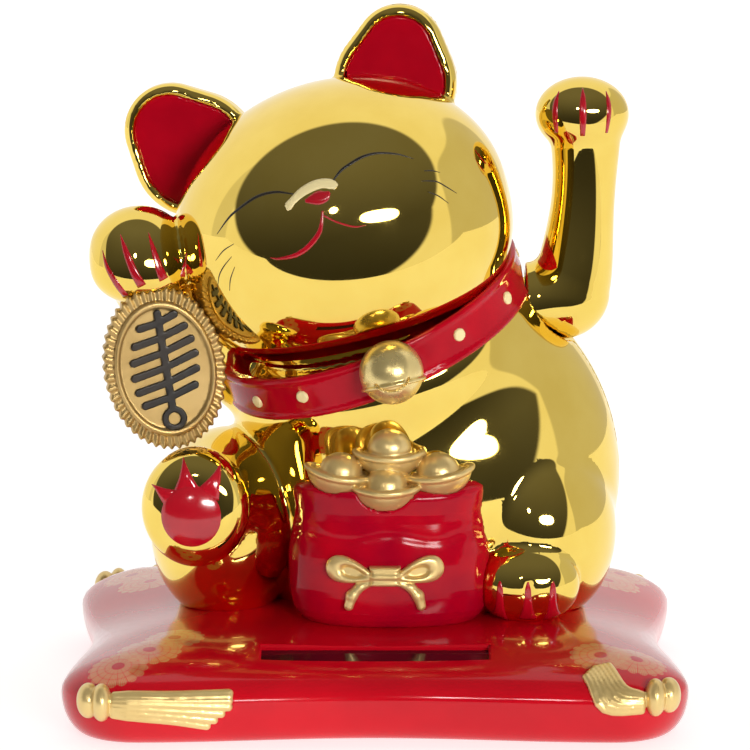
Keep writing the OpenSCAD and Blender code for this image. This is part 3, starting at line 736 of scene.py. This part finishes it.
def printed_red():
    """The cushion's lacquer, with pale gold round flower prints near its corners."""
    s = Shader("cushion_lacquer")
    split = s.node("ShaderNodeSeparateXYZ")
    s.put(split.inputs[0], s.position)
    x, y, z = split.outputs
    prints = 0.0
    for cx, cy, r in PRINTS:
        dx, dy = s.math("SUBTRACT", x, cx * MM), s.math("SUBTRACT", y, cy * MM)
        reach = s.math("SQRT", s.math("ADD", s.math("MULTIPLY", dx, dx), s.math("MULTIPLY", dy, dy)))
        angle = s.math("ARCTAN2", dy, dx)
        petal = s.math("ABSOLUTE", s.math("SINE", s.math("MULTIPLY", angle, 8.0)))
        edge = s.math("MULTIPLY", s.math("ADD", s.math("MULTIPLY", petal, 0.09), 0.91), r * MM)
        disc = s.ramp(s.math("SUBTRACT", edge, reach), 0.0, 0.00015)
        hatch = s.ramp(s.math("SINE", s.math("MULTIPLY", angle, 88.0)), -0.2, 0.3, 0.35, 1.0)
        vein = s.ramp(petal, 0.0, 0.22)
        heart = s.ramp(reach, 0.0009, 0.0012)
        rings = s.ramp(s.math("SINE", s.math("MULTIPLY", reach, 5200.0)), -0.95, -0.6, 0.55, 1.0)
        mask = s.math("MULTIPLY", s.math("MULTIPLY", disc, hatch), s.math("MULTIPLY", vein, rings))
        mask = s.math("MULTIPLY", mask, heart)
        prints = s.math("MAXIMUM", prints, mask)
    prints = s.math("MULTIPLY", prints, s.ramp(z, 0.0085, 0.0095))
    tone = s.mix(s.ramp(s.noise(60), 0.35, 0.65), (0.62, 0.002, 0.012), (0.54, 0.001, 0.010))
    s.set(Base_Color=s.mix(s.math("MULTIPLY", prints, 0.75), tone, (0.72, 0.46, 0.20)),
          Metallic=s.math("MULTIPLY", prints, 0.35), Specular_IOR_Level=0.15,
          Roughness=s.ramp(s.noise(500), 0.3, 0.7, 0.13, 0.19), Coat_Weight=0.45, Coat_Roughness=0.04)
    s.bump(s.noise(420, 2.0), 0.05, 0.00005)
    return s.material


# Centre and radius of each round print
PRINTS = [(-35.7, -31.5, 5.3), (-40.4, -36.8, 4.9), (-31.9, -26.0, 4.9),
          (35.6, -33.6, 5.0), (41.3, -34.0, 4.9),
          (-37.6, 20.0, 5.6), (-41.0, 28.0, 5.0), (39.0, 22.0, 5.6), (41.5, 29.4, 5.0)]
cushion_red = printed_red()


def plain(name, colour, rough, metallic=0.0, grain=1200, coat=0.0):
    darker = tuple(0.82 * c for c in colour)
    return finish_of(name, colour, darker, metallic, rough, grain, coat=coat).material


cad_finishes = {
    "base_plate": plain("base_black_plastic", (0.025, 0.025, 0.028), (0.45, 0.6)),
    "solar_cell": plain("cell_glass", (0.05, 0.003, 0.010), (0.1, 0.16), grain=300, coat=0.3),
    "white": plain("white_plastic", (0.80, 0.80, 0.75), (0.4, 0.5)),
    "steel": plain("plated_steel", (0.62, 0.62, 0.64), (0.22, 0.34), 1.0),
    "magnet": plain("nickel", (0.55, 0.54, 0.52), (0.15, 0.25), 1.0),
    "copper": plain("enamelled_copper", (0.72, 0.30, 0.11), (0.25, 0.4), 0.9, 2400),
    "board": plain("solder_mask_green", (0.02, 0.16, 0.06), (0.25, 0.35)),
    "chip": plain("epoxy_black", (0.01, 0.01, 0.011), (0.2, 0.3)),
    "capacitor": plain("blue_sleeve", (0.02, 0.05, 0.16), (0.25, 0.35)),
    "lead_red": plain("red_insulation", (0.5, 0.02, 0.02), (0.35, 0.5)),
    "lead_black": plain("black_insulation", (0.02, 0.02, 0.02), (0.35, 0.5)),
}
# The nodes that keep their CAD shape, and the finish of each
CAD_NODES = {
    "base_plate": "base_plate", "solar_cell": "solar_cell", "arm_hub": "white",
    "pivot_pin": "steel", "pendulum_lever": "white", "magnet": "magnet",
    "counterweight": "steel", "movement_frame": "white", "coil_bobbin": "white",
    "coil_winding": "copper", "circuit_board": "board", "driver_chip": "chip",
    "capacitor": "capacitor", "cell_lead_red": "lead_red", "cell_lead_black": "lead_black",
    "coil_leads": "copper", "base_screws": "steel", "body_screws": "steel",
    "frame_screws": "steel", "board_screws": "steel",
}
for node, finish in CAD_NODES.items():
    node_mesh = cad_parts[node].data
    node_mesh.materials.clear()
    node_mesh.materials.append(cad_finishes[finish])

# ---------- gilt shells ----------


def shell(form, wall, side):
    """One half of a hollow form, closed at the parting plane."""
    def field(p):
        outer = form(p)
        d = np.maximum(outer, -(outer + wall))
        return meet(d, side * (PARTING_Y - p[..., 1]) + 0.01, 0.15)
    return field


def body_shell(side):
    half = shell(cat, SHELL_WALL, side)

    def field(p):
        d = cut(half(p), shoulder_hole(p), 0.25)
        return cut(d, cushion_field(p) - WIDE_GAP)
    return field


def arm_shell(side):
    half = shell(arm_form, ARM_WALL, side)

    def field(p):
        bore = np.maximum(off_pivot(p) - HUB_BORE_R, p[..., 0] - HUB_BORE_END)
        return np.maximum(half(p), -bore)
    return field


field_piece("cat_front", body_shell(-1), (-49, -28, 9), (42, 8, 114), 0.62, mirror_gold,
            replaced=["body_front"])
field_piece("cat_rear", body_shell(1), (-49, 6, 9), (42, 37, 114), 0.66, mirror_gold,
            replaced=["body_rear"])
field_piece("arm_shell_front", arm_shell(-1), (23, -2, 55), (42, 8, 101), 0.4, mirror_gold,
            "arm", ["arm_front"])
field_piece("arm_shell_rear", arm_shell(1), (23, 6, 55), (42, 15, 101), 0.4, mirror_gold,
            "arm", ["arm_rear"])


def ear_lining(side):
    def field(p):
        outline, half, y = ear_measures(p, side)
        d = slab(outline + 1.85, np.abs(y + half - 1.25) - 0.42, 0.25)
        return cut(d, head(p) - WIDE_GAP)
    return field


for side, low, high in (("left", (-46, -4, 78), (-18, 12, 101)), ("right", (-4, -4, 88), (20, 12, 113))):
    field_piece("ear_lining_" + side, ear_lining(side), low, high, 0.35, enamel_red)

# ---------- painted face, claws and pads ----------

HEAD_SPACE = (HEAD_C, HEAD_T)
EYES = [[(4.1, 8.9, 0.25), (5.5, 9.9, 0.45), (6.9, 10.4, 0.5), (9.2, 10.9, 0.5), (11.6, 10.7, 0.42),
         (14.4, 9.6, 0.3), (16.6, 8.1, 0.1)],
        [(-16.9, 5.4, 0.1), (-14.4, 7.3, 0.35), (-12.5, 8.3, 0.45), (-8.7, 9.6, 0.5), (-5.4, 9.6, 0.42),
         (-2.6, 8.6, 0.2)]]
WHISKERS = [[(17.7, 5.8, 0.16), (18.8, 5.4, 0.2), (19.8, 4.7, 0.08)],
            [(16.9, 4.5, 0.1), (18.0, 4.1, 0.2), (19.1, 3.5, 0.22), (20.2, 2.2, 0.2), (21.3, 0.7, 0.08)],
            [(17.4, 2.6, 0.1), (18.7, 1.4, 0.2), (19.8, -0.3, 0.08)],
            [(-18.4, 1.4, 0.08), (-16.5, 2.7, 0.2), (-14.4, 3.4, 0.1)],
            [(-19.6, -3.0, 0.08), (-18.6, -1.1, 0.2), (-17.3, 0.2, 0.2), (-15.4, 1.5, 0.1)],
            [(-17.6, -3.8, 0.08), (-16.8, -2.0, 0.2), (-15.4, -0.2, 0.1)]]
NOSE_BAR = [[(-4.3, 6.9, 0.9), (-3.9, 7.0, 1.4), (-3.0, 7.6, 1.25), (-1.2, 8.5, 1.5), (0.8, 8.95, 1.65),
             (2.4, 8.9, 1.6), (3.7, 8.35, 1.6), (4.3, 7.7, 0.9)]]
NOSE = [[(-1.0, 7.1, 0.5), (-0.2, 7.05, 1.3), (1.0, 7.0, 2.2), (2.2, 7.0, 1.9), (3.1, 7.35, 0.5)]]
MOUTH = [[(1.3, 4.9, 0.3), (0.9, 3.8, 0.45), (-0.1, 1.9, 0.75), (-2.2, 0.3, 0.85), (-4.7, -0.6, 0.75),
          (-7.7, -0.5, 0.4), (-9.0, 0.0, 0.1)],
         [(1.2, 4.2, 0.25), (3.0, 2.6, 0.3), (5.4, 1.1, 0.28), (7.2, 0.8, 0.1)]]
painted("eye_lines", head, EYES + WHISKERS, paint_black, space=HEAD_SPACE)
painted("nose_bar", head, NOSE_BAR, cream_gold, space=HEAD_SPACE, lift=0.1)
painted("nose_and_mouth", head, NOSE + MOUTH, paint_red, space=HEAD_SPACE, lift=0.12)

PAW_CLAWS = [[(-43.7, 73.6, 0.1), (-43.0, 71.2, 0.75), (-41.4, 68.4, 1.1), (-40.0, 66.4, 1.2)],
             [(-40.8, 76.3, 0.1), (-39.9, 73.8, 0.95), (-38.6, 70.6, 1.3), (-37.3, 68.2, 1.5)],
             [(-36.3, 76.6, 0.1), (-35.5, 74.2, 0.8), (-34.6, 71.3, 1.3), (-33.8, 69.2, 1.6)],
             [(-30.2, 73.4, 0.1), (-30.5, 71.5, 0.7), (-30.9, 69.3, 1.1)]]
FOOT_CLAWS = [[(x, 21.6, 0.3), (x, 20.4, 1.0), (x, 18.4, 1.3), (x, 16.6, 1.9), (x, 15.0, 3.2)]
              for x in FOOT_SLITS]
CROWN = [[(-32.2, 35.8, 3.6), (-33.6, 36.7, 2.0), (-34.6, 37.4, 0.9), (-35.5, 37.9, 0.12)],
         [(-29.9, 37.4, 4.2), (-30.1, 39.2, 2.3), (-30.3, 40.9, 1.0), (-30.5, 42.3, 0.12)],
         [(-26.6, 36.6, 4.0), (-25.6, 38.6, 2.2), (-24.9, 40.2, 1.0), (-24.6, 41.5, 0.12)]]
painted("paw_claws", cat, PAW_CLAWS, paint_red, lift=0.09)
painted("foot_claws", cat, FOOT_CLAWS, paint_red, lift=0.09)
painted("sole_crown", cat, CROWN, paint_red, lift=0.14)
painted("wave_claws", arm_form,
        [[(29.7, 98.0, 0.15), (29.2, 96.6, 0.85), (29.0, 94.4, 1.05), (29.3, 91.4, 0.7)],
         [(33.5, 98.6, 0.15), (33.5, 97.0, 0.9), (33.5, 94.4, 1.15), (33.5, 91.0, 0.8)],
         [(37.3, 98.0, 0.15), (37.65, 96.6, 0.75), (37.75, 94.6, 0.85), (37.4, 91.4, 0.5)]],
        paint_red, "arm", lift=0.09)
field_piece("sole_pad", lambda p: meet(ellipsoid(p, (-28.7, -22.5, 33.2), (5.5, 2.3, 5.6)),
                                       -(cat(p) + 0.5)),
            (-35, -27, 27), (-23, -18, 40), 0.25, paint_red)

# ---------- collar, bell, coin, bag ----------

field_piece("collar_band", collar_field, (-28, -23, 44), (27, 35, 76), 0.45, collar_red,
            replaced=["collar"])


# Angle round the collar in degrees from the front, and height from its middle
STUDS = [(-53.6, -0.3), (-31.1, 0.3), (31.0, 0.4), (58.9, -0.1), (100, 0), (140, 0), (180, 0),
         (-100, 0), (-140, 0)]


def collar_studs(p):
    d = None
    for angle, height in STUDS:
        a = math.radians(angle)
        reach = COLLAR_R - 0.2
        centre = COLLAR_C + COLLAR_T @ np.array([reach * math.sin(a), -reach * math.cos(a), height])
        q = local(p, centre, COLLAR_T @ turned(0, 0, angle))
        stud = slab(np.hypot(q[..., 0], q[..., 2]) - 1.05, np.abs(q[..., 1]) - 0.42, 0.25)
        d = stud if d is None else np.minimum(d, stud)
    return d


field_piece("collar_studs", collar_studs, (-28, -23, 44), (28, 35, 76), 0.3, cream_gold)
field_piece("jingle_bell", bell_field, (-4, -28, 50), (10, -15, 63), 0.18, bell_gold,
            replaced=["bell"])
field_piece("coin_body", lambda p: cut(coin_field(p), cat(p) - GAP), (-46, -14, 40), (-22, -4, 70), 0.26,
            coin_gold, replaced=["koban_coin"])
field_piece("coin_ornament", lambda p: cut(ornament_field(p), cat(p) - GAP),
            (-42, -13, 43), (-25, -8, 66), 0.2, paint_black)
field_piece("lucky_bag", lambda p: cut(cut(cut(bag_field(p), cat(p) - WIDE_GAP), cushion_field(p) - GAP),
                                       ingots_field(p) - GAP),
            (-16, -25, 12), (21, 2, 40), 0.36, bag_red, replaced=["money_bag"])
field_piece("ingot_heap", lambda p: cut(ingots_field(p), cat(p) - WIDE_GAP),
            (-12, -25, 33), (18, -8, 48), 0.22, satin_gold, replaced=["gold_ingots"])
field_piece("bag_ribbon", lambda p: cut(bow_field(p), bag_field(p) - GAP),
            (-9, -25, 15), (12, -17, 28), 0.18, satin_gold, replaced=["bag_bow"])
for corner, tassel, turn, low, high in (
        ("tassel_front_left", TASSEL_FRONT_LEFT, 1, (-51, -48, 1), (-20, -33, 14)),
        ("tassel_front_right", TASSEL_FRONT_RIGHT, 1, (29, -48, 1), (51, -31, 17)),
        ("tassel_rear_right", TASSEL_FRONT_LEFT, -1, (20, 33, 1), (51, 48, 14)),
        ("tassel_rear_left", TASSEL_FRONT_RIGHT, -1, (-51, 31, 1), (-29, 48, 17))):
    field_piece(corner, tassel_field(tassel, turn), low, high, 0.26, satin_gold,
                replaced=["tassels"] if corner == "tassel_front_left" else ())

# ---------- cushion ----------


def cup_mesh():
    """The cushion as a moulded cup: an outer skin, an inner skin, and a rim between them."""
    rings = []
    for b in range(90, -1, -9):
        a = math.radians(b)
        rings.append((BASE_INSET * (1 - math.cos(a)), SEAM_Z * (1 - math.sin(a))))
    for b in range(6, 91, 6):
        a = math.radians(b)
        rings.append((CROWN_INSET * (1 - math.cos(a)), SEAM_Z + (CROWN_Z - SEAM_Z) * math.sin(a)))
    outer = len(rings)
    # The inner skin, as insets from the outline and heights, ends at the rim
    rings += [(16.0, 11.9), (10.0, 10.2), (4.9, 8.6), (4.6, 3.6), (6.6, 2.6), (6.6, 0.0)]
    outlines = [cushion_outline(inset) for inset, _ in rings]
    n = len(outlines[0])
    points = np.vstack([np.column_stack([o, np.full(n, z)]) for o, (_, z) in zip(outlines, rings)])
    faces = []
    for i in range(len(rings)):
        if i == outer - 1:
            continue
        j = (i + 1) % len(rings)
        for k in range(n):
            m = (k + 1) % n
            faces.append((i * n + k, i * n + m, j * n + m, j * n + k))
    faces.append([(outer - 1) * n + k for k in range(n)])
    faces.append([outer * n + k for k in range(n - 1, -1, -1)])
    return points, faces


SLOT_W, SLOT_D, CELL_C, CELL_TILT = 36.0, 5.0, (0, -31.5, 12), turned(13.2, 0, 0)


def slot_cutter():
    """A box, tilted like the cell, that opens the window over it; its mouth is eased a little."""
    levels = [(0, -5), (0, 0.5), (0.3, 0.8), (0.3, 5)]
    points = [np.array(CELL_C) + CELL_TILT @ np.array([sx * (SLOT_W / 2 + w), sy * (SLOT_D / 2 + w), z])
              for w, z in levels for sx, sy in ((-1, -1), (1, -1), (1, 1), (-1, 1))]
    top = 4 * (len(levels) - 1)
    faces = [(3, 2, 1, 0), (top, top + 1, top + 2, top + 3)]
    for i in range(len(levels) - 1):
        faces += [(4 * i + k, 4 * i + (k + 1) % 4, 4 * i + 4 + (k + 1) % 4, 4 * i + 4 + k) for k in range(4)]
    return points, faces


cushion = new_object("cushion", *cup_mesh())
outward(cushion)
cutter = new_object("slot_cutter", *slot_cutter(), smooth=False)
outward(cutter)
boolean = cushion.modifiers.new("slot", "BOOLEAN")
boolean.operation, boolean.solver, boolean.object = "DIFFERENCE", "EXACT", cutter
bpy.context.view_layer.update()
opened = bpy.data.meshes.new_from_object(cushion.evaluated_get(bpy.context.evaluated_depsgraph_get()))
cushion.modifiers.clear()
cushion.data = opened
bpy.data.objects.remove(cutter)
opened.set_sharp_from_angle(angle=math.radians(38))
finish_piece(cushion, cushion_red, "figure", ["cushion_shell"])

# ---------- stage ----------


def make_floor():
    s = Shader("studio_floor")
    s.set(Base_Color=s.mix(s.noise(8), (0.58, 0.58, 0.58), (0.62, 0.62, 0.62)), Roughness=0.75,
          Specular_IOR_Level=0.15, Emission_Color=(1, 1, 1, 1), Emission_Strength=0.7)
    front, back, half = -155, 1500, 1500
    corners = [(-half, front, 0), (half, front, 0), (half, back, 0), (-half, back, 0)]
    floor = new_object("studio_floor", corners, [(0, 1, 2, 3)], smooth=False)
    floor.data.materials.append(s.material)


# Half angle of the dark opening and width of its soft edge in degrees; strength of the lamps
OPENING, OPENING_EDGE, LAMP = 67, 3, 30.0


def make_world():
    """A white tent: a dark opening in front, a shaded wall right, a faint fold left, and two lamps."""
    world = bpy.data.worlds.new("tent")
    bpy.context.scene.world = world
    world.use_nodes = True
    nodes, links = world.node_tree.nodes, world.node_tree.links
    background, output = nodes["Background"], nodes["World Output"]
    coords = nodes.new("ShaderNodeTexCoord").outputs["Generated"]

    def put(socket, value):
        if isinstance(value, bpy.types.NodeSocket):
            links.new(value, socket)
        else:
            socket.default_value = value

    def math_node(operation, a, b=0.0):
        made = nodes.new("ShaderNodeMath")
        made.operation = operation
        put(made.inputs[0], a)
        put(made.inputs[1], b)
        return made.outputs[0]

    def ramp(value, low, high, a=0.0, b=1.0):
        made = nodes.new("ShaderNodeMapRange")
        made.interpolation_type = "SMOOTHSTEP"
        put(made.inputs["Value"], value)
        for key, v in zip(("From Min", "From Max", "To Min", "To Max"), (low, high, a, b)):
            made.inputs[key].default_value = v
        return made.outputs["Result"]

    split = nodes.new("ShaderNodeSeparateXYZ")
    put(split.inputs[0], coords)
    x, y, z = split.outputs
    azimuth = math_node("MULTIPLY", math_node("ARCTAN2", x, math_node("MULTIPLY", y, -1.0)), 180 / math.pi)
    height = math_node("MULTIPLY", math_node("ARCSINE", z), 180 / math.pi)

    def patch(az, el, half_az, half_el, soft, power=4.0):
        """1 inside a rounded patch of sky, 0 outside."""
        u = math_node("DIVIDE", math_node("ABSOLUTE", math_node("SUBTRACT", azimuth, az)), half_az)
        v = math_node("DIVIDE", math_node("ABSOLUTE", math_node("SUBTRACT", height, el)), half_el)
        reach = math_node("ADD", math_node("POWER", u, power), math_node("POWER", v, power))
        return ramp(reach, 1 - soft, 1 + soft, 1.0, 0.0)

    towards, aside = math.radians(32), math.radians(-9)
    level_facing = math_node("ADD", math_node("MULTIPLY", y, -math.cos(aside)),
                             math_node("MULTIPLY", x, math.sin(aside)))
    facing = math_node("ADD", math_node("MULTIPLY", level_facing, math.cos(towards)),
                       math_node("MULTIPLY", z, math.sin(towards)))
    opening = ramp(facing, math.cos(math.radians(OPENING + OPENING_EDGE)), math.cos(math.radians(OPENING)))
    gloom = ramp(height, -30, 70, 0.035, 0.17)
    shade = math_node("MULTIPLY", patch(112, 8, 38, 34, 0.12), 0.34)
    fold = math_node("MULTIPLY", patch(-92, 10, 7, 40, 0.5), 0.22)
    bright = math_node("SUBTRACT", math_node("SUBTRACT", 1.0, shade), fold)
    level = math_node("ADD", math_node("MULTIPLY", opening, gloom),
                      math_node("MULTIPLY", math_node("SUBTRACT", 1.0, opening), bright))
    level = math_node("ADD", level, math_node("MULTIPLY", patch(23, 11, 12.5, 5.0, 0.3, 2.5), LAMP))
    level = math_node("ADD", level, math_node("MULTIPLY", patch(-9, 20, 2.6, 2.6, 0.3, 2.0), LAMP))
    put(background.inputs["Color"], (1.0, 0.985, 0.955, 1))
    put(background.inputs["Strength"], level)
    plain_sky = nodes.new("ShaderNodeBackground")
    seen = nodes.new("ShaderNodeLightPath").outputs["Is Camera Ray"]
    blend = nodes.new("ShaderNodeMixShader")
    put(blend.inputs[0], seen)
    links.new(background.outputs[0], blend.inputs[1])
    links.new(plain_sky.outputs[0], blend.inputs[2])
    plain_sky.inputs["Color"].default_value = (1, 1, 1, 1)
    links.new(blend.outputs[0], output.inputs["Surface"])


make_floor()
make_world()

bpy.context.scene.view_settings.view_transform = "Standard"

# ---------- camera ----------

ELEVATION, DISTANCE, TARGET_Z = math.radians(10), 0.9, 0.0518
SENSOR, FOCAL_RATIO = 36, 7.38
camera_data = bpy.data.cameras.new("camera")
camera_data.sensor_width = SENSOR
camera_data.lens = SENSOR * FOCAL_RATIO
camera_data.clip_start, camera_data.clip_end = 0.05, 20
camera = bpy.data.objects.new("camera", camera_data)
bpy.context.scene.collection.objects.link(camera)
camera.location = (0, -DISTANCE * math.cos(ELEVATION), TARGET_Z + DISTANCE * math.sin(ELEVATION))
camera.rotation_euler = (math.pi / 2 - ELEVATION, 0, 0)
bpy.context.scene.camera = camera
